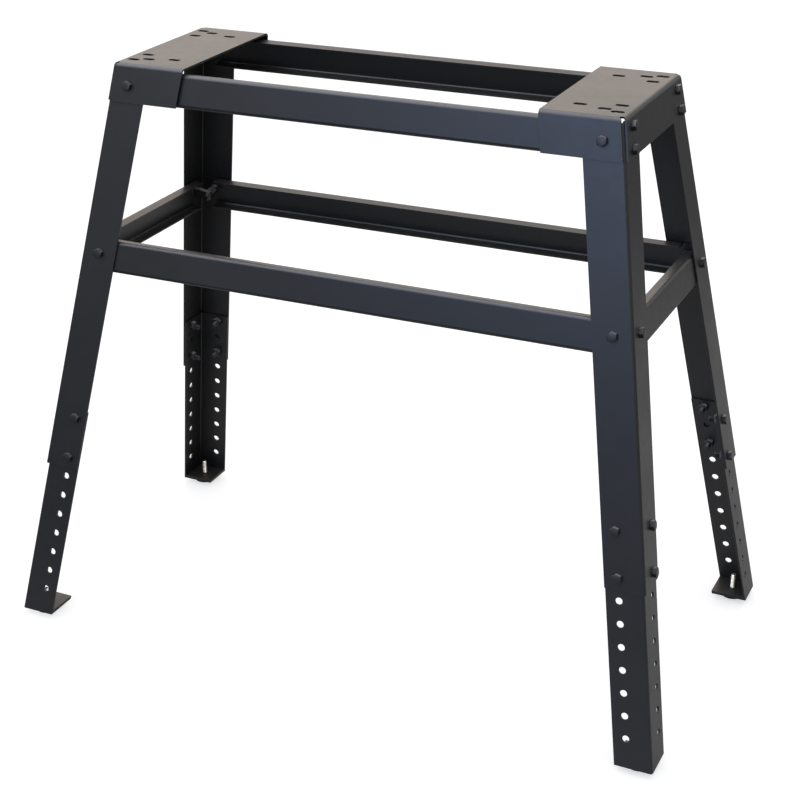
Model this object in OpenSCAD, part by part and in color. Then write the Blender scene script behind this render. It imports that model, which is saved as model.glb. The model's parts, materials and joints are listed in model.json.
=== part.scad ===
// Bolted sheet-steel stand for a small lathe: two slotted caps on four splayed
// angle legs, tied by channel rails. A second angle slides in each leg and is
// pinned by bolts in a row of holes, which sets the height of the stand.

/* [Stand] */
// Height from the floor to the top of the caps, with the legs fully out
stand_h = 797; // [770:1:830]
// Length over the two caps, along X
top_l = 700; // [640:5:760]
// Depth over the caps, along Y
top_d = 235; // [220:1:260]
// Outward lean of the legs at the ends of the stand, in degrees
lean_end = 9.4; // [8:0.1:10.5]
// Outward lean of the legs to the front and back, in degrees
lean_side = 10.4; // [9:0.1:11.5]

/* [Caps] */
// Sheet thickness of the caps
cap_t = 2.5; // [2:0.1:3]
// Outer bend radius of the caps
cap_r = 6; // [5:0.5:6.5]
// Width of a cap at its top, from the end of the stand inward
cap_w = 106; // [100:0.5:120]
// Height of the cap flanges
cap_h = 50; // [48:0.5:56]
// Distance from the leg's corner line to the ends of the cap flanges beside it
cap_corner_gap = 2.8; // [2.6:0.1:4]
// Diameter of the relief hole where two bends meet
relief_d = 6; // [5.5:0.5:7.5]
// Width of a slot
slot_w = 9; // [8.5:0.5:10]
// Length of a slot, end to end along X
slot_l = 17; // [14:0.5:17.5]
// Distance from the end of a cap in to the middles of slots A, B, C and D
slot_from_end = [69, 35.5, 17, 21]; // [16.5:0.5:80]
// Distance from the front or back of a cap in to the middles of slots A, B, C and D
slot_from_side = [43, 33.5, 25.5, 55.5]; // [23:0.5:62]

/* [Legs] */
// Sheet thickness of the legs
leg_t = 2.5; // [2:0.1:3]
// Outer bend radius of the legs
leg_r = 4; // [3.5:0.5:5]
// Width of each flange of an upper leg
upper_w = 52; // [50:0.5:54]
// Width of each flange of a lower leg
lower_w = 49.2; // [48:0.2:49.8]
// Clearance between an upper leg and the lower leg nested in it
nest_gap = 0.2; // [0.1:0.05:0.3]
// Depth of the upper legs' upper ends below the top of the caps
upper_start = 7; // [6:0.5:8]
// Height of the upper legs' lower ends above the floor
upper_end_h = 235; // [220:1:237]
// Height of the lower legs' upper ends above the floor
lower_top_h = 317.5; // [315:0.5:323]
// Height of the lower legs' cut ends above the floor
leg_ground = 8; // [8:0.5:12]
// Distance between neighbouring adjusting holes
hole_pitch = 30; // [29:0.5:30]
// Number of adjusting holes in each flange of a lower leg
hole_count = 10; // [9:1:10]
// Diameter of an adjusting hole
hole_d = 9.2; // [9:0.1:10]
// Distance of the adjusting holes from the upper leg's corner line
adjust_gauge = 35; // [34:0.5:36]
// Height above the floor at which a leg's corner line passes its first adjusting holes
first_hole_h = 314; // [312:0.5:315]

/* [Rails] */
// Sheet thickness of the rails
rail_t = 2; // [1.5:0.1:2.5]
// Outer bend radius of the rails
rail_r = 5; // [3:0.5:5.5]
// Height of a rail
rail_h = 43.5; // [40:0.5:44]
// Depth of a rail, over its web
rail_d = 16; // [14:0.5:20]
// Depth of the top rails' middle line below the top of the caps
top_rail_drop = 28.5; // [28:0.5:32]
// Depth of the lower rails' middle line below the top of the caps
lower_rail_drop = 256.5; // [240:0.5:270]
// Distance from a leg's corner line to the end of a rail's web
web_gauge = 13; // [10:0.5:14]
// Distance from a leg's corner line to the end of a rail's lips
lip_gauge = 29; // [28:0.5:34]

/* [Fasteners] */
// Diameter of the bolts
bolt_d = 8; // [7.8:0.05:8]
// Length of the bolts under the head
bolt_l = 20; // [18:0.5:20]
// Width across the flats of heads and nuts
across_flats = 12; // [11.5:0.1:13]
// Height of a bolt head
head_h = 5.3; // [4.5:0.1:6]
// Height of a nut
nut_h = 6.5; // [6:0.1:6.8]
// Diameter of the bolt holes in caps, upper legs and rails
bolt_hole_d = 9; // [8.5:0.1:9.5]
// Radial clearance between a nut's bore and its bolt
thread_gap = 0.05; // [0.02:0.01:0.08]
// Distance of the cap and rail bolts from the leg's corner line
bolt_gauge = 26; // [25:0.5:27]
// Height of the cap bolts on the front and back above the top rails' middle line
cap_bolt_rise = 0; // [0:0.5:3]
// Depths of the two cap bolts at each end corner, below the top of the caps
end_bolt_drop = [15, 42]; // [12:0.5:43]
// Height of the lower rail bolts above the lower rails' middle line
rail_bolt_rise = 3; // [0:0.5:5]

/* [Feet] */
// Thickness of the foot plates
plate_t = 5; // [4:0.5:6]
// Distance from a leg's outer faces to the foot screw's axis, at the ground end
foot_inset = 28; // [27:0.5:30]
// Diameter of a foot pad
pad_d = 33; // [30:1:36]
// Height of a foot pad
pad_h = 7.5; // [6:0.5:7.8]
// Diameter of the foot screw
stud_d = 8; // [7.8:0.05:8.2]
// Travel of a foot pad on its screw
foot_travel = 12; // [8:1:12]
// Length of foot screw left above its plate at the end of that travel
stud_spare = 8.5; // [6:0.5:12]
// Depth of the screw's seat in the pad
stud_seat = 4; // [3:0.5:5]

/* [Hidden] */
$fn = 48;
reach = 1000;
overlap = 1;
// Amount by which a bend's arc passes the faces beside it, so that they cross
bend_lap = 0.004;

// Leg planes: where they cross the top, and how they turn about their frames
leg_x = top_l / 2 - cap_t / cos(lean_end);
leg_y = top_d / 2 - cap_t / cos(lean_side);
turn_end = atan(tan(lean_end) * cos(lean_side));
turn_side = atan(tan(lean_side) * cos(lean_end));
fold = asin(sin(lean_end) * sin(lean_side));

// The lower leg's place in the upper leg, the foot screw's axis, and the bolts' depths
nest = leg_t + nest_gap;
ground_drop = stand_h - leg_ground;
adjust_run = (stand_h - first_hole_h) / cos(turn_end) / cos(lean_side);
cap_bolt_drop = top_rail_drop - cap_bolt_rise;
rail_bolt_drop = lower_rail_drop - rail_bolt_rise;
foot_x = leg_x + ground_drop * tan(lean_end) - foot_inset;
foot_y = leg_y + ground_drop * tan(lean_side) - foot_inset;
plate_top = leg_ground + plate_t;

// Distance from the leg's corner line to the inner edge of a cap's side flange
cap_gauge = (cap_w - top_l / 2 + leg_x + cap_r * tan(lean_end)) * cos(turn_end);

// Bolts that pin a lower leg sit in its first and third holes
pinned_holes = [0, 2];
// Turn of the bolts' heads and nuts about their axes
bolt_spin = 27;

frame_black = [0.13, 0.13, 0.14];
bolt_black = [0.08, 0.08, 0.085];
zinc = [0.62, 0.62, 0.64];
rubber_black = [0.07, 0.07, 0.07];

CORNERS = [["front_left", -1, -1], ["front_right", 1, -1], ["back_left", -1, 1], ["back_right", 1, 1]];

// Distance along the leg at which a line at this gauge is this deep below the top
function run_y(drop, gauge) = (drop / cos(lean_side) - gauge * sin(turn_end)) / cos(turn_end);
function run_x(drop, gauge) = (drop / cos(lean_end) - gauge * sin(turn_side)) / cos(turn_side);

// Point of a leg's section that lies this deep behind its two outer faces
function section_point(behind_y, behind_x) =
    [(-behind_x + behind_y * sin(fold)) / cos(fold), -behind_y];

// Moves the back right corner's shapes to the corner named by two signs
module at_corner(sx, sy) {
    mirror([sx < 0 ? 1 : 0, 0, 0]) mirror([0, sy < 0 ? 1 : 0, 0]) children();
}

// Frame on the leg's back face: X outward along the face, Y out of it, Z up the leg
module face_y() {
    translate([leg_x, leg_y, stand_h])
        rotate([lean_side, 0, 0])
            rotate([0, -turn_end, 0]) children();
}

// Frame on the leg's end face: X out of it, Y outward along the face, Z up the leg
module face_x() {
    translate([leg_x, leg_y, stand_h])
        rotate([0, -lean_end, 0])
            rotate([turn_side, 0, 0]) children();
}

// Places a shape drawn along +Z so that it points out of a leg's face
module on_face_y(gauge, run) {
    face_y() translate([-gauge, 0, -run]) rotate([-90, 0, 0]) children();
}

module on_face_x(gauge, run) {
    face_x() translate([0, -gauge, -run]) rotate([0, 90, 0]) children();
}

// Length of sheet that a bend takes from each side of its sharp corner
function bend_side(r, turn) = r * tan(turn / 2);

// What rounding to radius r cuts off a corner, drawn about the bend's centre
module corner_waste(r, turn) {
    side = 4 * leg_r;
    difference() {
        polygon([[0, 0], [0, side], [side, side], side * [sin(turn), cos(turn)]]);
        circle(r = r + bend_lap);
    }
}

// Region behind two faces that meet at a corner rounded to radius r
module rounded_corner(outline, r, centre, turn) {
    difference() {
        polygon(outline);
        translate(centre) corner_waste(r, turn);
    }
}

// Bent angle: a flange w1 wide along -X, turned down into a flange w2 wide
module angle_section(w1, w2, t, r, turn) {
    centre = [-bend_side(r, turn), -r];
    along = [cos(turn), -sin(turn)];
    out = [sin(turn), cos(turn)];
    inner = [-t * tan(turn / 2), -t];
    difference() {
        rounded_corner([[0, 0], [-w1, 0], [-w1, -2 * t], w2 * along - 2 * t * out, w2 * along],
                       r, centre, turn);
        rounded_corner([inner, [-reach, -t], [-reach, -reach], inner + reach * along],
                       r - t, centre, turn);
    }
}

// Channel open to -X, with its web's outer face on the Y axis
module channel_section() {
    for (side = [0, 1])
        mirror([0, side]) translate([0, rail_h / 2])
            angle_section(rail_d, rail_h / 2 + overlap, rail_t, rail_r, 90);
}

// Slab of the stand between two depths below the top
module level_slab(drop_top, drop_bottom) {
    translate([-reach, -reach, stand_h - drop_bottom])
        cube([2 * reach, 2 * reach, drop_bottom - drop_top]);
}

module leg_section_solid(behind, w) {
    corner = section_point(behind, behind);
    face_y() translate([corner[0], corner[1], -reach])
        linear_extrude(reach + stand_h) angle_section(w, w, leg_t, leg_r, 90 - fold);
}

// Holes through a corner for the cap, rail and pinning bolts
module hole(d) {
    cylinder(d = d, h = 2 * bolt_l, center = true);
}

module cap_bolt_places() {
    on_face_y(bolt_gauge, run_y(cap_bolt_drop, bolt_gauge)) translate([0, 0, cap_t]) children();
    for (drop = end_bolt_drop)
        on_face_x(bolt_gauge, run_x(drop, bolt_gauge)) translate([0, 0, cap_t]) children();
}

module rail_bolt_places() {
    on_face_y(bolt_gauge, run_y(rail_bolt_drop, bolt_gauge)) children();
    on_face_x(bolt_gauge, run_x(rail_bolt_drop, bolt_gauge)) children();
}

module pin_places(holes) {
    for (i = holes) {
        on_face_y(adjust_gauge, adjust_run + i * hole_pitch) children();
        on_face_x(adjust_gauge, adjust_run + i * hole_pitch) children();
    }
}

// Hex bolt with its head's underside at z = 0
module bolt() {
    rotate(bolt_spin) cylinder(d = across_flats / cos(30), h = head_h, $fn = 6);
    translate([0, 0, -bolt_l]) cylinder(d = bolt_d, h = bolt_l + overlap);
}

// Hex nut with its upper face at z = -grip
module nut(grip) {
    translate([0, 0, -grip - nut_h]) difference() {
        rotate(bolt_spin) cylinder(d = across_flats / cos(30), h = nut_h, $fn = 6);
        translate([0, 0, -overlap]) cylinder(d = bolt_d + 2 * thread_gap, h = nut_h + 2 * overlap);
    }
}

// Long slot along X, cut down through a cap
module slot() {
    straight = slot_l - slot_w;
    translate([-straight / 2, -slot_w / 2, 0]) cube([straight, slot_w, 3 * cap_r]);
    for (side = [-1, 1])
        translate([side * straight / 2, 0, 0]) cylinder(d = slot_w, h = 3 * cap_r);
}

// Right-hand cap: top plate with flanges bent down at the front, back and end
module cap() {
    plate_x = top_l / 2 - 1.5 * cap_r;
    plate_y = top_d / 2 - 1.5 * cap_r;
    color(frame_black) difference() {
        union() {
            translate([top_l / 2 - cap_w, -plate_y, stand_h - cap_t])
                cube([plate_x - top_l / 2 + cap_w, 2 * plate_y, cap_t]);
            for (sy = [-1, 1]) at_corner(1, sy) cap_side_flange();
            cap_end_flange();
        }
        for (sy = [-1, 1]) at_corner(1, sy) {
            cap_bolt_places() hole(bolt_hole_d);
            translate([top_l / 2 - bend_side(cap_r, 90 - lean_end),
                       top_d / 2 - bend_side(cap_r, 90 - lean_side), stand_h - 2 * cap_r])
                cylinder(d = relief_d, h = 3 * cap_r);
            for (i = [0 : len(slot_from_end) - 1])
                translate([top_l / 2 - slot_from_end[i], top_d / 2 - slot_from_side[i],
                           stand_h - 2 * cap_r]) slot();
        }
    }
}

// Back flange of the right-hand cap, with its bend and the plate's edge
module cap_side_flange() {
    intersection() {
        translate([top_l / 2 - cap_w, top_d / 2, stand_h]) rotate([90, 0, 90])
            linear_extrude(2 * cap_w)
                angle_section(2 * cap_r, 2 * cap_h, cap_t, cap_r, 90 - lean_side);
        face_y() translate([-cap_gauge, -reach, -reach])
            cube([cap_gauge - cap_corner_gap, 2 * reach, 2 * reach]);
        level_slab(0, cap_h);
    }
}

// End flange of the right-hand cap, with its bend and the plate's edge
module cap_end_flange() {
    intersection() {
        translate([top_l / 2, top_d, stand_h]) rotate([90, 0, 0])
            linear_extrude(2 * top_d)
                angle_section(2 * cap_r, 2 * cap_h, cap_t, cap_r, 90 - lean_end);
        face_x() translate([-reach, -reach, -reach])
            cube([2 * reach, reach - cap_corner_gap, 2 * reach]);
        mirror([0, 1, 0]) face_x() translate([-reach, -reach, -reach])
            cube([2 * reach, reach - cap_corner_gap, 2 * reach]);
        level_slab(0, cap_h);
    }
}

// Upper leg of the back right corner
module upper_leg() {
    color(frame_black) difference() {
        intersection() {
            leg_section_solid(0, upper_w);
            level_slab(upper_start, stand_h - upper_end_h);
        }
        cap_bolt_places() hole(bolt_hole_d);
        rail_bolt_places() hole(bolt_hole_d);
        pin_places(pinned_holes) hole(bolt_hole_d);
    }
}

// Lower leg of the back right corner, nested in the upper one
module lower_leg() {
    color(frame_black) difference() {
        intersection() {
            leg_section_solid(nest, lower_w);
            level_slab(stand_h - lower_top_h, ground_drop);
        }
        pin_places([0 : hole_count - 1]) hole(hole_d);
    }
}

// Level plate welded inside the foot of a lower leg
module foot_plate() {
    inner = nest + leg_t;
    outer = nest + lower_w;
    chamfer = leg_r - leg_t + 0.5;
    color(frame_black) difference() {
        intersection() {
            face_y() translate([0, 0, -reach]) linear_extrude(reach) polygon([
                section_point(inner, inner + chamfer), section_point(inner, outer),
                section_point(outer, outer), section_point(outer, inner),
                section_point(inner + chamfer, inner)
            ]);
            level_slab(stand_h - plate_top, ground_drop);
        }
        translate([foot_x, foot_y, 0])
            cylinder(d = stud_d + 2 * thread_gap, h = 2 * plate_top);
    }
}

// Round pad that stands on the floor and turns on the foot screw
module foot_pad() {
    color(rubber_black) translate([foot_x, foot_y, 0]) difference() {
        cylinder(d = pad_d, h = pad_h);
        translate([0, 0, pad_h - stud_seat])
            cylinder(d = stud_d + 2 * thread_gap, h = stud_seat + overlap);
    }
}

// Threaded screw between the pad and the foot plate
module foot_screw() {
    color(zinc) translate([foot_x, foot_y, pad_h - stud_seat])
        cylinder(d = stud_d, h = plate_top + foot_travel + stud_spare - pad_h + stud_seat);
}

// Top or lower rail of the back, between two depths' middle line
module long_rail(drop) {
    difference() {
        translate([0, leg_y, stand_h]) rotate([lean_side, 0, 0])
            translate([-reach / 2, -leg_t, -drop / cos(lean_side)])
                rotate([90, 0, 90]) linear_extrude(reach) channel_section();
        for (sx = [-1, 1]) at_corner(sx, 1) {
            face_y() translate([-web_gauge, -reach / 2, -reach]) cube([reach, reach, 2 * reach]);
            face_y() translate([-lip_gauge, -reach - leg_t - rail_t, -reach])
                cube([reach, reach, 2 * reach]);
            cap_bolt_places() hole(bolt_hole_d);
            rail_bolt_places() hole(bolt_hole_d);
        }
    }
}

// Lower cross rail of the right-hand end
module cross_rail() {
    difference() {
        translate([leg_x, 0, stand_h]) rotate([0, -lean_end, 0])
            translate([-leg_t, reach / 2, -lower_rail_drop / cos(lean_end)])
                rotate([90, 0, 0]) linear_extrude(reach) channel_section();
        for (sy = [-1, 1]) at_corner(1, sy) {
            face_x() translate([-reach / 2, -web_gauge, -reach]) cube([reach, reach, 2 * reach]);
            face_x() translate([-reach - leg_t - rail_t, -lip_gauge, -reach])
                cube([reach, reach, 2 * reach]);
            rail_bolt_places() hole(bolt_hole_d);
        }
    }
}

// Cap grip on the front and back, and on the ends
module cap_nut_places() {
    on_face_y(bolt_gauge, run_y(cap_bolt_drop, bolt_gauge)) nut(leg_t + rail_t);
    for (drop = end_bolt_drop) on_face_x(bolt_gauge, run_x(drop, bolt_gauge)) nut(leg_t);
}

module pin_bolts() {
    color(bolt_black) pin_places(pinned_holes) bolt();
}

module pin_nuts() {
    color(bolt_black) pin_places(pinned_holes) nut(nest + leg_t);
}

module every_corner() {
    for (c = CORNERS) at_corner(c[1], c[2]) children();
}

module cap_left() { mirror([1, 0, 0]) cap(); }
module cap_right() { cap(); }
module top_rail_front() { color(frame_black) mirror([0, 1, 0]) long_rail(top_rail_drop); }
module top_rail_back() { color(frame_black) long_rail(top_rail_drop); }
module lower_rail_front() { color(frame_black) mirror([0, 1, 0]) long_rail(lower_rail_drop); }
module lower_rail_back() { color(frame_black) long_rail(lower_rail_drop); }
module cross_rail_left() { color(frame_black) mirror([1, 0, 0]) cross_rail(); }
module cross_rail_right() { color(frame_black) cross_rail(); }
module cap_bolts() { color(bolt_black) every_corner() cap_bolt_places() bolt(); }
module cap_nuts() { color(bolt_black) every_corner() cap_nut_places(); }
module rail_bolts() { color(bolt_black) every_corner() rail_bolt_places() bolt(); }
module rail_nuts() { color(bolt_black) every_corner() rail_bolt_places() nut(leg_t + rail_t); }

cap_left();
cap_right();
top_rail_front();
top_rail_back();
lower_rail_front();
lower_rail_back();
cross_rail_left();
cross_rail_right();
cap_bolts();
cap_nuts();
rail_bolts();
rail_nuts();

for (c = CORNERS) {
    at_corner(c[1], c[2]) upper_leg();
    at_corner(c[1], c[2]) lower_leg();
    at_corner(c[1], c[2]) foot_plate();
    at_corner(c[1], c[2]) foot_pad();
    at_corner(c[1], c[2]) foot_screw();
    at_corner(c[1], c[2]) pin_bolts();
    at_corner(c[1], c[2]) pin_nuts();
}
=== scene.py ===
"""Dresses the packed lathe stand: folded sheets with eased edges and black powder
coat, hex bolts and nuts, threaded foot screws, moulded pads, floor, light and camera."""

import json
import math

import bmesh
import bpy
import numpy as np
from bpy.props import FloatProperty, FloatVectorProperty, IntProperty, PointerProperty
from mathutils import Matrix, Vector


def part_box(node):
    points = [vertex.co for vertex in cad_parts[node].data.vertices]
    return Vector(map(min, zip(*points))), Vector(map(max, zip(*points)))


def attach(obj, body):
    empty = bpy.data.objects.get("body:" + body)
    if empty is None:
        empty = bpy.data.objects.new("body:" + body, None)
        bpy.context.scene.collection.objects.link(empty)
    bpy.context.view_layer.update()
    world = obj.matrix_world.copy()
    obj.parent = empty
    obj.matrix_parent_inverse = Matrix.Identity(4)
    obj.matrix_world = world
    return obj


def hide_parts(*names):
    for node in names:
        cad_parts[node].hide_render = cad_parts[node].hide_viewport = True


bl_info = {
    "name": "Lathe Stand",
    "version": (1, 0, 0),
    "blender": (4, 5, 0),
    "location": "View3D > Sidebar > Lathe Stand",
    "description": "Builds the looks of a bolted sheet-steel lathe stand round its CAD frame",
    "category": "Object",
}

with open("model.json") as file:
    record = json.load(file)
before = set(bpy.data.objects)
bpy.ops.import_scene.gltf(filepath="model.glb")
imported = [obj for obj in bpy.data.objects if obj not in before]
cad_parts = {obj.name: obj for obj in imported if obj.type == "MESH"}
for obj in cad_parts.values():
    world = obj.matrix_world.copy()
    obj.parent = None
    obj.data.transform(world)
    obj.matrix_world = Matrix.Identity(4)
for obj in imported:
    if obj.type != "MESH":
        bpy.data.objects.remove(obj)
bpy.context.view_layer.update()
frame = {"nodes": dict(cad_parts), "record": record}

BODIES = frame["record"]["behaviour"]["bodies"]
BODY_OF = {node: body for body, nodes in BODIES.items() for node in nodes}
CORNERS = ("front_left", "front_right", "back_left", "back_right")
BOLT_AND_NUT_NODES = [("cap_bolts", "cap_nuts"), ("rail_bolts", "rail_nuts")]
BOLT_AND_NUT_NODES += [("pin_bolts_" + corner, "pin_nuts_" + corner) for corner in CORNERS]

# In a CAD mesh, points closer than this are one, and triangles that turn less are one flat face
SAME_PLACE = 2e-6
FLAT_TURN = math.radians(0.5)

# Edges of a sheet that turn more than this are cut edges, and the others belong to its bends
CUT_TURN = math.radians(40)

# Edges of a turned piece that turn more than this stay sharp
SHARP_TURN = math.radians(32)

# A hexagon's round face, as a share of its width across flats, the middle of a head's face,
# as a share of that face, and how far the face falls from its middle to its rim
FACE_SHARE = 0.955
CROWN_SHARE = 0.93
CROWN_DROP = 0.0001

# Slope of a head's lower chamfer, as a share of the upper one's, and height of the washer face
UNDER_SLOPE = 0.3
WASHER_FACE = 0.0004

# Length without a thread under a head, and width and depth of the countersink in a nut
PLAIN_NECK = 0.003
NUT_SINK = 0.0004

# Shares of a thread's pitch that its crest and its flanks take, and how long its tip narrows
CREST = 0.14
FLANKS = 0.7
TIP_TAPER = 0.0009

# Points round a hexagon, which fall on its corners, and round a thread, steps from ring to ring
# in one of its turns, and the fewest steps that a thread has, however short it is
HEX_SIDES = 72
THREAD_SIDES = 24
STEPS_IN_TURN = 8
FEWEST_STEPS = 2

# A foot pad's lower rim, as distances in from its wall and up from the ground
PAD_RIM = ((0.002, 0), (0.0008, 0.0002), (0.0003, 0.0008))

# The collar round a foot pad's bore, as distances out from the bore and down from the top
PAD_COLLAR = ((0.0052, 0.0009), (0.0042, 0.0003), (0.0034, 0), (0.0004, 0), (0, 0.0004))

# How far a pad's wall stays below its top, and the gap between its bore and the screw
PAD_SHOULDER = 0.0012
BORE_GAP = 0.00005

# Each soft panel's place, the place that it faces, and its width and height
BACK_PANEL = ((-1.15, 2.6, 1.75), (0, 0, 0.8), (3.4, 1.9))
FRONT_PANEL = ((-0.35, -3.3, 1.23), (0.2, 0, 0.7), (0.8, 0.7))
TOP_PANEL = ((-0.6, -1.2, 3.1), (-0.6, -1.1, 0.7), (5.5, 5.5))

# The floor is a disc, pale round a place behind the stand and to its right, and darker beyond
FLOOR_RADIUS = 14
PALE_PLACE = (0.55, 0.6, 0)
PALE_TO, DARK_FROM = 0.7, 2.2

# The floor's glow to the camera at a tone of 0, and how much weaker it is at a tone of 1
FLOOR_WHITE = 1.05
FLOOR_LIT = 0.62

# The sky's light, and what gloss and clear stuff see of the floor's glow and of the sky on top
SKY_LIGHT = 0.65
FLOOR_IN_GLOSS = 0.03
SKY_IN_GLOSS = 0.05

# Width of the camera's sensor in millimetres, for which its lens is given
SENSOR_WIDTH = 36


class PaintSettings(bpy.types.PropertyGroup):
    """Powder coat on the folded sheets"""

    colour: FloatVectorProperty(
        name="Coat colour", description="Colour of the powder coat", subtype="COLOR",
        default=(0.0062, 0.0066, 0.007), min=0, max=1)
    # Painted light: a paler coat colour on faces that look up, in place of the sheen they reflect
    top_colour: FloatVectorProperty(
        name="Painted top light", description="Colour of the painted light on faces that look up",
        subtype="COLOR", default=(0.03, 0.0265, 0.023), min=0, max=1)
    worn_colour: FloatVectorProperty(
        name="Rubbed edges", description="Colour of the coat where edges are rubbed",
        subtype="COLOR", default=(0.05, 0.05, 0.052), min=0, max=1)
    roughness: FloatProperty(
        name="Roughness", description="Roughness of the coat", subtype="FACTOR",
        default=0.4, min=0, max=1)
    grain: FloatProperty(
        name="Grain", description="Width of one dimple of the coat", unit="LENGTH",
        default=0.0009, min=0.0003, max=0.005)
    edge: FloatProperty(
        name="Eased edge", description="Width of the rounding on the sheets' cut edges",
        unit="LENGTH", default=0.00015, min=0.0001, max=0.0008)


class FastenerSettings(bpy.types.PropertyGroup):
    """Bolts, nuts and foot screws"""

    bolt_colour: FloatVectorProperty(
        name="Black oxide", description="Colour of bolts and nuts", subtype="COLOR",
        default=(0.009, 0.009, 0.01), min=0, max=1)
    # Painted highlight: a pale colour on bolt faces that look up, in place of the light their upper facets
    # catch
    painted_highlight_colour: FloatVectorProperty(
        name="Painted bolt highlight", description="Colour of the painted light on bolts where they look up",
        subtype="COLOR", default=(0.34, 0.34, 0.35), min=0, max=1)
    touched_colour: FloatVectorProperty(
        name="Tool marks", description="Colour of bolts and nuts where tools touched their corners",
        subtype="COLOR", default=(0.16, 0.16, 0.165), min=0, max=1)
    zinc_colour: FloatVectorProperty(
        name="Zinc", description="Colour of the foot screws' plating", subtype="COLOR",
        default=(0.72, 0.66, 0.5), min=0, max=1)
    cloud_colour: FloatVectorProperty(
        name="Zinc clouds", description="Colour of the plating where its passivation is thin",
        subtype="COLOR", default=(0.6, 0.6, 0.62), min=0, max=1)
    pitch: FloatProperty(
        name="Thread pitch", description="Height of one turn of the threads", unit="LENGTH",
        default=0.00125, min=0.0008, max=0.002)
    thread_depth: FloatProperty(
        name="Thread depth", description="Depth of the threads", unit="LENGTH",
        default=0.00062, min=0.0002, max=0.001)
    chamfer: FloatProperty(
        name="Corner chamfer", description="Slope of the chamfer on hex corners",
        subtype="ANGLE", default=math.radians(30), min=math.radians(15), max=math.radians(45))


class PadSettings(bpy.types.PropertyGroup):
    """Moulded foot pads"""

    colour: FloatVectorProperty(
        name="Plastic", description="Colour of the pads", subtype="COLOR",
        default=(0.012, 0.012, 0.013), min=0, max=1)
    scuffed_colour: FloatVectorProperty(
        name="Scuffs", description="Colour of the pads where their rim is scuffed",
        subtype="COLOR", default=(0.05, 0.05, 0.05), min=0, max=1)
    fillet: FloatProperty(
        name="Rim fillet", description="Radius of the pad's rounded rim", unit="LENGTH",
        default=0.0016, min=0.0004, max=0.003)
    sides: IntProperty(
        name="Sides", description="Number of facets round a pad", default=72, min=24, max=144)


class StageSettings(bpy.types.PropertyGroup):
    """Floor, light and camera"""

    near_tone: FloatProperty(
        name="Near floor", description="How pale the floor is behind and to the right of the stand",
        subtype="FACTOR", default=0.75, min=0, max=1)
    far_tone: FloatProperty(
        name="Far floor", description="How pale the floor is away from there",
        subtype="FACTOR", default=0.17, min=0, max=1)
    back_level: FloatProperty(
        name="Back panel", description="Brightness of the panel behind the stand, where 1 is white",
        default=1.07, min=0, max=10)
    back_colour: FloatVectorProperty(
        name="Back panel tint", description="Tint of the panel behind the stand",
        subtype="COLOR", default=(1.0, 0.82, 0.66), min=0, max=1)
    top_level: FloatProperty(
        name="Top panel", description="Brightness of the panel overhead, where 1 is white",
        default=4.4, min=0, max=10)
    top_colour: FloatVectorProperty(
        name="Top panel tint", description="Tint of the panel overhead",
        subtype="COLOR", default=(0.8, 0.85, 1.0), min=0, max=1)
    front_level: FloatProperty(
        name="Front panel", description="Brightness of the panel in front, where 1 is white",
        default=12.6, min=0, max=30)
    front_colour: FloatVectorProperty(
        name="Front panel tint", description="Tint of the panel in front of the stand",
        subtype="COLOR", default=(0.38, 0.55, 1.0), min=0, max=1)
    camera_place: FloatVectorProperty(
        name="Camera", description="Where the camera stands", subtype="TRANSLATION",
        unit="LENGTH", default=(0.92657, -2.03749, 1.34003))
    camera_turn: FloatVectorProperty(
        name="Camera turn", description="Heading, tilt and roll of the camera",
        subtype="EULER", unit="ROTATION",
        default=(math.radians(-26.641), math.radians(-24.3626), math.radians(-0.832)))
    lens: FloatProperty(
        name="Lens", description="Focal length on a 36 mm wide sensor, in millimetres",
        default=78.82, min=20, max=200)
    shift: FloatProperty(
        name="Shift", description="Sideways shift of the camera's picture",
        default=0.0875, min=-0.5, max=0.5)


class StandSettings(bpy.types.PropertyGroup):
    """All settings of the stand"""

    paint: PointerProperty(type=PaintSettings)
    fasteners: PointerProperty(type=FastenerSettings)
    pads: PointerProperty(type=PadSettings)
    stage: PointerProperty(type=StageSettings)


class Signal:
    """A node's output, on which Python's operators add Math nodes."""

    def __init__(self, finish, output):
        self.finish = finish
        self.output = output

    def maths(self, operation, first, second):
        return self.finish.add("ShaderNodeMath", {"operation": operation}, first, second)

    def __add__(self, other):
        return self.maths("ADD", self, other)

    def __sub__(self, other):
        return self.maths("SUBTRACT", self, other)

    def __rsub__(self, other):
        return self.maths("SUBTRACT", other, self)

    def __mul__(self, other):
        return self.maths("MULTIPLY", self, other)

    __radd__ = __add__
    __rmul__ = __mul__

    def ramp(self, low, high):
        """0 where this is low or less, 1 where it is high or more, smooth between."""
        return self.finish.add("ShaderNodeMapRange", {"interpolation_type": "SMOOTHSTEP"},
                               self, low, high, 0.0, 1.0)


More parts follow.
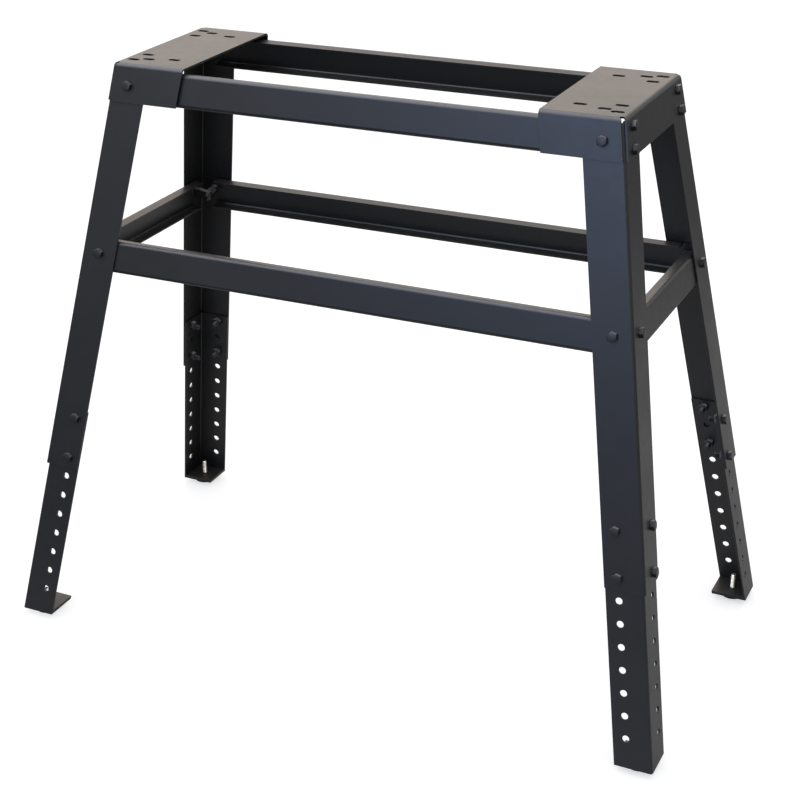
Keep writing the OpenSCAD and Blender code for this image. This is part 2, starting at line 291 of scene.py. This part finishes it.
class Finish:
    """One material or world, whose nodes are added by calls."""

    def __init__(self, owner):
        owner.use_nodes = True
        self.owner = owner
        self.tree = owner.node_tree
        self.tree.nodes.clear()

    def add(self, kind, settings=None, *values, take=0, **named):
        """Adds a node, makes its settings, fills its sockets in order or by name, and takes one output."""
        node = self.tree.nodes.new(kind)
        for key, value in (settings or {}).items():
            setattr(node, key, value)
        shown = [socket for socket in node.inputs if socket.enabled]
        for socket, value in zip(shown, values):
            self.fill(socket, value)
        for key, value in named.items():
            self.fill(next(socket for socket in shown if socket.name == key.replace("_", " ")), value)
        outputs = [socket for socket in node.outputs if socket.enabled]
        return Signal(self, outputs[take] if outputs else None)

    def fill(self, socket, value):
        """Links a signal to a socket, or sets the socket to a number, a vector or a colour."""
        if isinstance(value, Signal):
            self.tree.links.new(value.output, socket)
        elif hasattr(socket.default_value, "__len__") and len(socket.default_value) == 4:
            socket.default_value = (*value[:3], 1)
        else:
            socket.default_value = value

    def mix(self, mask, first, second):
        """First colour where the mask is 0, second where it is 1."""
        return self.add("ShaderNodeMix", {"data_type": "RGBA"}, mask, first, second)

    def noise(self, width, detail=3.0):
        """Noise in the piece's own coordinates, with features about this wide in metres."""
        place = self.add("ShaderNodeTexCoord", take=3)
        return self.add("ShaderNodeTexNoise", None, Vector=place, Scale=1 / width, Detail=detail,
                        Roughness=0.55)

    def bump(self, height, distance, strength):
        return self.add("ShaderNodeBump", None, Strength=strength, Distance=distance, Height=height)

    def edges(self, radius):
        """1 along outer edges, fading over a radius."""
        rounded = self.add("ShaderNodeBevel", {"samples": 6}, radius)
        plain = self.add("ShaderNodeNewGeometry", take=1)
        facing = self.add("ShaderNodeVectorMath", {"operation": "DOT_PRODUCT"}, rounded, plain)
        return (1 - facing).ramp(0.01, 0.16)

    def looking_up(self):
        """1 on faces that look up, 0 on faces that lean or stand."""
        normal = self.add("ShaderNodeNewGeometry", take=1)
        height = self.add("ShaderNodeSeparateXYZ", None, normal, take=2)
        return height.ramp(0.55, 0.97)

    def ray_kinds(self):
        """Three masks: 1 for the camera's rays, for rays off gloss, and for rays through clear stuff."""
        return [self.add("ShaderNodeLightPath", take=output) for output in (0, 3, 6)]

    def grey(self, tone):
        return self.add("ShaderNodeCombineColor", None, tone, tone, tone)

    def surface(self, **sockets):
        shader = self.add("ShaderNodeBsdfPrincipled", None, **sockets)
        self.add("ShaderNodeOutputMaterial", None, shader)
        return self.owner


def new_finish(name):
    return Finish(bpy.data.materials.new(name))


def powder_coat(settings):
    """Satin powder coat: dimpled, a little uneven, with painted light on faces that look up, and rubbed at
    its edges.
    """
    finish = new_finish("powder_coat")
    cloud = finish.noise(width=0.07)
    patches = finish.noise(width=0.012, detail=4.0)
    grain = finish.noise(width=settings.grain, detail=2.0)
    # Painted light: faces that look up turn paler, unevenly, in place of the sheen they reflect
    painted_light = finish.looking_up() * (0.75 + 0.5 * cloud)
    rubbed = finish.edges(radius=0.0012) * patches.ramp(0.45, 0.65)
    speckle = grain.ramp(0.62, 0.74) * 0.12
    coat = finish.mix(painted_light, settings.colour, settings.top_colour)
    coat = finish.mix(rubbed * 0.6, coat, settings.worn_colour)
    coat = finish.mix(speckle, coat, settings.worn_colour)
    rough = settings.roughness + (cloud - 0.5) * 0.12 + (patches - 0.5) * 0.08
    return finish.surface(
        Base_Color=coat, Roughness=rough - 0.08 * rubbed, IOR=1.5,
        Normal=finish.bump(grain + 0.5 * patches, distance=0.00006, strength=0.5))


def black_oxide(settings):
    """Blackened steel of the bolts and nuts, with a painted highlight on faces that look up, brighter where
    tools touched corners.
    """
    finish = new_finish("black_oxide")
    patches = finish.noise(width=0.003, detail=4.0)
    grain = finish.noise(width=0.0005, detail=2.0)
    # Painted highlight: faces that look up turn pale, in place of the light their upper facets catch
    painted_light = finish.looking_up() * (0.7 + 0.6 * patches)
    touched = finish.edges(radius=0.0006) * patches.ramp(0.4, 0.7)
    colour = finish.mix(painted_light, settings.bolt_colour, settings.painted_highlight_colour)
    colour = finish.mix(touched * 0.7, colour, settings.touched_colour)
    return finish.surface(
        Base_Color=colour, Roughness=0.34 + 0.12 * patches, Metallic=touched * 0.4, IOR=1.5,
        Normal=finish.bump(grain, distance=0.00003, strength=0.5))


def zinc_plate(settings):
    """Zinc with a faint yellow passivation, cloudy along the screw."""
    finish = new_finish("zinc_plate")
    cloud = finish.noise(width=0.004, detail=4.0)
    grain = finish.noise(width=0.0006, detail=2.0)
    colour = finish.mix(cloud.ramp(0.35, 0.7), settings.zinc_colour, settings.cloud_colour)
    return finish.surface(
        Base_Color=colour, Roughness=0.24 + 0.16 * cloud, Metallic=1.0,
        Normal=finish.bump(grain, distance=0.00003, strength=0.4))


def moulded_plastic(settings):
    """Black moulded plastic with a fine grain, scuffed at the rim."""
    finish = new_finish("moulded_plastic")
    grain = finish.noise(width=0.0005, detail=2.0)
    cloud = finish.noise(width=0.008, detail=4.0)
    scuffed = finish.edges(radius=0.001) * cloud.ramp(0.45, 0.65)
    colour = finish.mix(scuffed, settings.colour, settings.scuffed_colour)
    return finish.surface(
        Base_Color=colour, Roughness=0.5 + 0.15 * cloud, IOR=1.46,
        Normal=finish.bump(grain, distance=0.00008, strength=0.5))


def white_floor(settings):
    """Floor that is white to the camera, keeps shadows, and sends up more light where it is pale."""
    finish = new_finish("floor")
    camera, glossy, clear = finish.ray_kinds()
    place = finish.add("ShaderNodeTexCoord", take=3)
    away = finish.add("ShaderNodeVectorMath", {"operation": "DISTANCE"}, place, PALE_PLACE)
    darkened = away.ramp(PALE_TO, DARK_FROM) * (settings.far_tone - settings.near_tone)
    tone = settings.near_tone + darkened + finish.noise(width=0.5) * 0.02
    glow = camera * (FLOOR_WHITE - FLOOR_LIT * tone) + (glossy + clear) * FLOOR_IN_GLOSS
    shader = finish.add("ShaderNodeBsdfPrincipled", None, Base_Color=finish.grey(tone),
                        Roughness=0.9, Specular_IOR_Level=0.1)
    light = finish.add("ShaderNodeEmission", None, finish.grey(glow), 1.0)
    finish.add("ShaderNodeOutputMaterial", None, finish.add("ShaderNodeAddShader", None, shader, light))
    return finish.owner


def white_sky():
    """Sky that is white to the camera and lights the stand softly from all sides."""
    finish = Finish(bpy.data.worlds.new("studio"))
    camera, glossy, clear = finish.ray_kinds()
    level = SKY_LIGHT + camera * (1 - SKY_LIGHT) + (glossy + clear) * SKY_IN_GLOSS
    finish.add("ShaderNodeOutputWorld", None, finish.add("ShaderNodeBackground", None, (1, 1, 1), level))
    return finish.owner


def add_piece(name, mesh, material, *nodes):
    """Puts a mesh in the scene as the piece that stands for these CAD nodes."""
    piece = bpy.data.objects.new(name, mesh)
    bpy.context.scene.collection.objects.link(piece)
    mesh.materials.append(material)
    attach(piece, BODY_OF[nodes[0]])
    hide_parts(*nodes)
    return piece


def whole_faces(node):
    """A CAD node's shape with its triangles joined into flat faces, which the caller frees."""
    shape = bmesh.new()
    shape.from_mesh(frame["nodes"][node].data)
    bmesh.ops.remove_doubles(shape, verts=shape.verts, dist=SAME_PLACE)
    bmesh.ops.dissolve_limit(shape, angle_limit=FLAT_TURN, verts=shape.verts, edges=shape.edges)
    return shape


def folded_sheet(node, material, edge):
    """Copies a CAD sheet and eases its cut edges, with its faces and bends left as they are."""
    sheet = whole_faces(node)
    for part in (*sheet.faces, *sheet.edges):
        part.smooth = True
    mesh = bpy.data.meshes.new(node + "_sheet")
    sheet.to_mesh(mesh)
    sheet.free()
    piece = add_piece(node + "_sheet", mesh, material, node)
    ease = piece.modifiers.new("eased edges", "BEVEL")
    ease.width, ease.segments = edge, 2
    ease.limit_method, ease.angle_limit = "ANGLE", CUT_TURN
    ease.use_clamp_overlap = False
    shading = piece.modifiers.new("flat faces", "WEIGHTED_NORMAL")
    shading.weight = 100


class Turned:
    """A mesh made of rings of points round one axis, joined into a skin."""

    def __init__(self):
        self.mesh = bmesh.new()

    def skin(self, place, rings, capped=True):
        """Joins rings of (x, y, z) points in an axis's own coordinates."""
        made = [[self.mesh.verts.new(place @ Vector(point)) for point in ring] for ring in rings]
        for near, far in zip(made, made[1:]):
            for index, corner in enumerate(near):
                after = (index + 1) % len(near)
                self.mesh.faces.new((corner, near[after], far[after], far[index])).smooth = True
        if capped:
            for ring in (made[0][::-1], made[-1]):
                self.mesh.faces.new(ring).smooth = True

    def finished(self, name):
        bmesh.ops.recalc_face_normals(self.mesh, faces=self.mesh.faces)
        mesh = bpy.data.meshes.new(name)
        self.mesh.to_mesh(mesh)
        self.mesh.free()
        mesh.set_sharp_from_angle(angle=SHARP_TURN)
        return mesh


def circle(radius, height, sides=HEX_SIDES):
    turns = [2 * math.pi * i / sides for i in range(sides)]
    return [(radius * math.cos(turn), radius * math.sin(turn), height) for turn in turns]


def hex_ring(flats, height, inner, slope):
    """A hexagon's outline that rises or falls where it passes a chamfer's circle."""
    ring = []
    for i in range(HEX_SIDES):
        angle = 2 * math.pi * i / HEX_SIDES
        from_flat = (angle + math.pi / 6) % (math.pi / 3) - math.pi / 6
        radius = flats / 2 / math.cos(math.pi / 6 - abs(from_flat))
        lift = max(0, radius - inner) * slope
        ring.append((radius * math.cos(angle), radius * math.sin(angle), height + lift))
    return ring


def thread_rings(radius, length, pitch, depth):
    """Rings of a right-hand thread, tapered at its upper end."""
    count = max(FEWEST_STEPS, round(length / pitch * STEPS_IN_TURN))
    rings = []
    for k in range(count + 1):
        height = length * k / count
        cut = max(0.0, TIP_TAPER - (length - height))
        ring = []
        for i in range(THREAD_SIDES):
            turn = i / THREAD_SIDES
            phase = (height / pitch - turn) % 1
            groove = min(1.0, max(0.0, (abs(2 * phase - 1) - CREST) / FLANKS))
            reach = min(radius - depth * groove, radius - cut)
            angle = 2 * math.pi * turn
            ring.append((reach * math.cos(angle), reach * math.sin(angle), height))
        rings.append(ring)
    return rings


class Seat:
    """Where a bolt sits: the middle of its head's top, its axis and one corner, read from the CAD."""

    # A hexagon's sides lie 0.5 to 0.577 of its width across flats from its axis
    INSIDE_FLATS = 0.49
    OUTSIDE_CORNERS = 0.62

    # Points between these heights, from the top of the head, are read as the bolt's or its nut's.
    # The lower one passes a bolt's end, so at the rail bolts it also takes in the bolt that crosses
    LOWEST, HIGHEST = -0.04, 0.001

    # Points this close to the lowest one lie on the end of the shank
    AT_THE_END = 1e-5

    def __init__(self, face, node):
        self.top = face.calc_center_median()
        self.axis = face.normal.normalized()
        corner = (face.verts[0].co - self.top).normalized()
        self.turn = Matrix((corner, self.axis.cross(corner), self.axis)).transposed().to_4x4()
        self.flats = 2 * math.cos(math.pi / 6) * (face.verts[0].co - self.top).length
        heights, reaches = self.measure(node)
        self.end = heights.min()
        self.underside = heights[reaches > self.INSIDE_FLATS * self.flats].min()
        self.shank = reaches[heights < self.end + self.AT_THE_END].max()

    def measure(self, node):
        """Heights along the axis and distances from it, for a node's points near this bolt."""
        mesh = frame["nodes"][node].data
        points = np.empty(3 * len(mesh.vertices))
        mesh.vertices.foreach_get("co", points)
        away = points.reshape(-1, 3) - np.array(self.top)
        heights = away @ np.array(self.axis)
        reaches = np.linalg.norm(away - np.outer(heights, np.array(self.axis)), axis=1)
        near = reaches < self.OUTSIDE_CORNERS * self.flats
        near &= (self.LOWEST < heights) & (heights < self.HIGHEST)
        return heights[near], reaches[near]

    def place(self, height=0.0):
        """Matrix that carries a piece drawn along +Z to this height on the axis."""
        return Matrix.Translation(self.top + self.axis * height) @ self.turn


def is_hex_head(face, least_arm=0.006, alike=1.01):
    """True for a face with six corners that lie alike, and far enough, from its middle."""
    middle = face.calc_center_median()
    arms = [(corner.co - middle).length for corner in face.verts]
    return len(arms) == 6 and max(arms) < alike * min(arms) and min(arms) > least_arm


def seats_of(node):
    """One seat for each bolt of a CAD node."""
    shape = whole_faces(node)
    seats = [Seat(face, node) for face in shape.faces if is_hex_head(face)]
    shape.free()
    if not seats:
        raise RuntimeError("no hex heads found on " + node)
    return seats


def hex_bolt(bolts, seat, look):
    """Adds a bolt: a chamfered head on its washer face, a plain neck and a thread."""
    slope = math.tan(look.chamfer)
    face = seat.flats / 2 * FACE_SHARE
    bolts.skin(seat.place(), [
        circle(face * CROWN_SHARE, 0), circle(face, -CROWN_DROP),
        hex_ring(seat.flats, 0, face, -slope),
        hex_ring(seat.flats, seat.underside + WASHER_FACE, face, slope * UNDER_SLOPE),
        circle(face, seat.underside + WASHER_FACE), circle(face, seat.underside)])
    downward = Matrix.Rotation(math.pi, 4, "X")
    thread = thread_rings(seat.shank, seat.underside - seat.end - PLAIN_NECK,
                          look.pitch, look.thread_depth)
    bolts.skin(seat.place(seat.underside - PLAIN_NECK) @ downward,
               [circle(seat.shank, -PLAIN_NECK, THREAD_SIDES)] + thread)


def hex_nut(nuts, seat, node, look):
    """Adds a nut: a hexagon chamfered on both faces, with a countersunk bore."""
    slope = math.tan(look.chamfer)
    face = seat.flats / 2 * FACE_SHARE
    sunk = seat.shank + NUT_SINK
    heights, _ = seat.measure(node)
    height = heights.max() - heights.min()
    nuts.skin(seat.place(heights.min()), [
        circle(sunk, 0), circle(face, 0),
        hex_ring(seat.flats, 0, face, slope), hex_ring(seat.flats, height, face, -slope),
        circle(face, height), circle(sunk, height),
        circle(seat.shank, height - NUT_SINK), circle(seat.shank, NUT_SINK),
        circle(sunk, 0)], capped=False)


def foot_of(box):
    """Matrix that carries a piece drawn up from the origin to the middle of a box's bottom."""
    low, high = box
    return Matrix.Translation(((low[0] + high[0]) / 2, (low[1] + high[1]) / 2, low[2]))


def pad_profile(outer, height, bore, seat_height, fillet):
    """A pad's outline from its lower rim over the rounded wall and the collar down to its seat."""
    profile = [(outer - inward, up) for inward, up in PAD_RIM]
    for degrees in range(0, 91, 15):
        angle = math.radians(degrees)
        profile.append((outer - fillet + fillet * math.cos(angle),
                        height - PAD_SHOULDER - fillet + fillet * math.sin(angle)))
    profile += [(bore + outward, height - down) for outward, down in PAD_COLLAR]
    profile.append((bore, seat_height))
    return profile


def settings_of(context):
    return context.scene.lathe_stand


class SheetOperator(bpy.types.Operator):
    """Base of the operators that dress folded sheets"""

    bl_options = {"REGISTER", "UNDO"}
    nodes = ()

    def execute(self, context):
        paint = settings_of(context).paint
        material = bpy.data.materials.get("powder_coat") or powder_coat(paint)
        for node in self.nodes:
            folded_sheet(node, material, paint.edge)
        return {"FINISHED"}


class STAND_OT_caps(SheetOperator):
    """Dress the two slotted caps"""

    bl_idname = "stand.caps"
    bl_label = "Caps"
    nodes = ("cap_left", "cap_right")


class STAND_OT_upper_legs(SheetOperator):
    """Dress the four upper leg angles"""

    bl_idname = "stand.upper_legs"
    bl_label = "Upper legs"
    nodes = tuple("upper_leg_" + corner for corner in CORNERS)


class STAND_OT_lower_legs(SheetOperator):
    """Dress the four sliding leg angles and their foot plates"""

    bl_idname = "stand.lower_legs"
    bl_label = "Lower legs"
    nodes = tuple(kind + corner for kind in ("lower_leg_", "foot_plate_") for corner in CORNERS)


class STAND_OT_rails(SheetOperator):
    """Dress the channel rails"""

    bl_idname = "stand.rails"
    bl_label = "Rails"
    nodes = ("top_rail_front", "top_rail_back", "lower_rail_front", "lower_rail_back",
             "cross_rail_left", "cross_rail_right")


class STAND_OT_bolts(bpy.types.Operator):
    """Make the hex bolts with chamfered heads and threaded ends, and their nuts"""

    bl_idname = "stand.bolts"
    bl_label = "Bolts and nuts"
    bl_options = {"REGISTER", "UNDO"}

    def execute(self, context):
        look = settings_of(context).fasteners
        material = black_oxide(look)
        for bolt_node, nut_node in BOLT_AND_NUT_NODES:
            bolts, nuts = Turned(), Turned()
            for seat in seats_of(bolt_node):
                hex_bolt(bolts, seat, look)
                hex_nut(nuts, seat, nut_node, look)
            add_piece(bolt_node + "_hex", bolts.finished(bolt_node + "_hex"), material, bolt_node)
            add_piece(nut_node + "_hex", nuts.finished(nut_node + "_hex"), material, nut_node)
        return {"FINISHED"}


class STAND_OT_foot_screws(bpy.types.Operator):
    """Make the threaded levelling screws"""

    bl_idname = "stand.foot_screws"
    bl_label = "Foot screws"
    bl_options = {"REGISTER", "UNDO"}

    def execute(self, context):
        look = settings_of(context).fasteners
        material = zinc_plate(look)
        for corner in CORNERS:
            node = "foot_screw_" + corner
            low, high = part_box(node)
            screw = Turned()
            screw.skin(foot_of((low, high)), thread_rings(
                (high[0] - low[0]) / 2, high[2] - low[2], look.pitch, look.thread_depth))
            add_piece(node + "_thread", screw.finished(node + "_thread"), material, node)
        return {"FINISHED"}


class STAND_OT_foot_pads(bpy.types.Operator):
    """Make the moulded pads under the foot screws"""

    bl_idname = "stand.foot_pads"
    bl_label = "Foot pads"
    bl_options = {"REGISTER", "UNDO"}

    def execute(self, context):
        look = settings_of(context).pads
        material = moulded_plastic(look)
        for corner in CORNERS:
            node = "foot_pad_" + corner
            low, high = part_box(node)
            screw_low, screw_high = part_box("foot_screw_" + corner)
            bore = (screw_high[0] - screw_low[0]) / 2 + BORE_GAP
            profile = pad_profile((high[0] - low[0]) / 2, high[2] - low[2], bore,
                                  screw_low[2] - low[2], look.fillet)
            pad = Turned()
            pad.skin(foot_of((low, high)), [circle(radius, level, look.sides) for radius, level in profile])
            add_piece(node + "_moulding", pad.finished(node + "_moulding"), material, node)
        return {"FINISHED"}


def area_lamp(name, panel, brightness, colour):
    """A soft panel that looks from its place to an aim, with a brightness where 1 is white."""
    place, aim, (width, height) = panel
    light = bpy.data.lights.new(name, "AREA")
    light.shape, light.size, light.size_y = "RECTANGLE", width, height
    light.energy = brightness * math.pi * width * height
    light.color = colour
    lamp = bpy.data.objects.new(name, light)
    lamp.location = place
    lamp.rotation_euler = (Vector(aim) - Vector(place)).to_track_quat("-Z", "Y").to_euler()
    lamp.visible_camera = False
    bpy.context.scene.collection.objects.link(lamp)
    return lamp


class STAND_OT_stage(bpy.types.Operator):
    """Make the floor, the soft light and the camera"""

    bl_idname = "stand.stage"
    bl_label = "Floor, light and camera"
    bl_options = {"REGISTER", "UNDO"}

    def execute(self, context):
        look = settings_of(context).stage
        self.make_floor(look)
        self.make_light(look)
        self.make_camera(look)
        return {"FINISHED"}

    def make_floor(self, look):
        plate = bmesh.new()
        bmesh.ops.create_circle(plate, cap_ends=True, segments=96, radius=FLOOR_RADIUS)
        mesh = bpy.data.meshes.new("floor")
        plate.to_mesh(mesh)
        plate.free()
        floor = bpy.data.objects.new("floor", mesh)
        bpy.context.scene.collection.objects.link(floor)
        mesh.materials.append(white_floor(look))

    def make_light(self, look):
        """Lights the stand from behind, in front and all round. The panel overhead shows only as gloss."""
        bpy.context.scene.world = white_sky()
        area_lamp("back_panel", BACK_PANEL, look.back_level, look.back_colour)
        area_lamp("front_panel", FRONT_PANEL, look.front_level, look.front_colour)
        overhead = area_lamp("top_panel", TOP_PANEL, look.top_level, look.top_colour)
        overhead.visible_diffuse = False

    def make_camera(self, look):
        """Places the camera: its heading runs clockwise from +Y, and its tilt up from level."""
        heading, tilt, roll = look.camera_turn
        ahead = Vector((math.sin(heading) * math.cos(tilt), math.cos(heading) * math.cos(tilt),
                        math.sin(tilt)))
        side = Vector((math.cos(heading), -math.sin(heading), 0))
        above = side.cross(ahead)
        side, above = (math.cos(roll) * side + math.sin(roll) * above,
                       math.cos(roll) * above - math.sin(roll) * side)
        camera = bpy.data.objects.new("camera", bpy.data.cameras.new("camera"))
        camera.matrix_world = (Matrix.Translation(look.camera_place)
                               @ Matrix((side, above, -ahead)).transposed().to_4x4())
        camera.data.sensor_width, camera.data.lens = SENSOR_WIDTH, look.lens
        camera.data.shift_x = look.shift
        scene = bpy.context.scene
        scene.collection.objects.link(camera)
        scene.camera = camera
        scene.view_settings.view_transform = "Standard"


class STAND_PT_panel(bpy.types.Panel):
    """Lists the pieces of the stand and their settings"""

    bl_idname = "STAND_PT_panel"
    bl_label = "Lathe Stand"
    bl_space_type = "VIEW_3D"
    bl_region_type = "UI"
    bl_category = "Lathe Stand"

    def draw(self, context):
        settings = settings_of(context)
        for group in (settings.paint, settings.fasteners, settings.pads, settings.stage):
            box = self.layout.box()
            box.label(text=type(group).__doc__)
            for name in type(group).__annotations__:
                box.prop(group, name)
        for operator in OPERATORS:
            self.layout.operator(operator.bl_idname)


GROUPS = (PaintSettings, FastenerSettings, PadSettings, StageSettings, StandSettings)
OPERATORS = (STAND_OT_caps, STAND_OT_upper_legs, STAND_OT_lower_legs, STAND_OT_rails,
             STAND_OT_bolts, STAND_OT_foot_screws, STAND_OT_foot_pads, STAND_OT_stage)


def register():
    for kind in (*GROUPS, *OPERATORS, STAND_PT_panel):
        bpy.utils.register_class(kind)
    bpy.types.Scene.lathe_stand = PointerProperty(type=StandSettings)


def unregister():
    del bpy.types.Scene.lathe_stand
    for kind in reversed((*GROUPS, *OPERATORS, STAND_PT_panel)):
        bpy.utils.unregister_class(kind)


def main():
    register()
    bpy.ops.stand.caps()
    bpy.ops.stand.upper_legs()
    bpy.ops.stand.lower_legs()
    bpy.ops.stand.rails()
    bpy.ops.stand.bolts()
    bpy.ops.stand.foot_screws()
    bpy.ops.stand.foot_pads()
    bpy.ops.stand.stage()


if __name__ == "__main__":
    main()
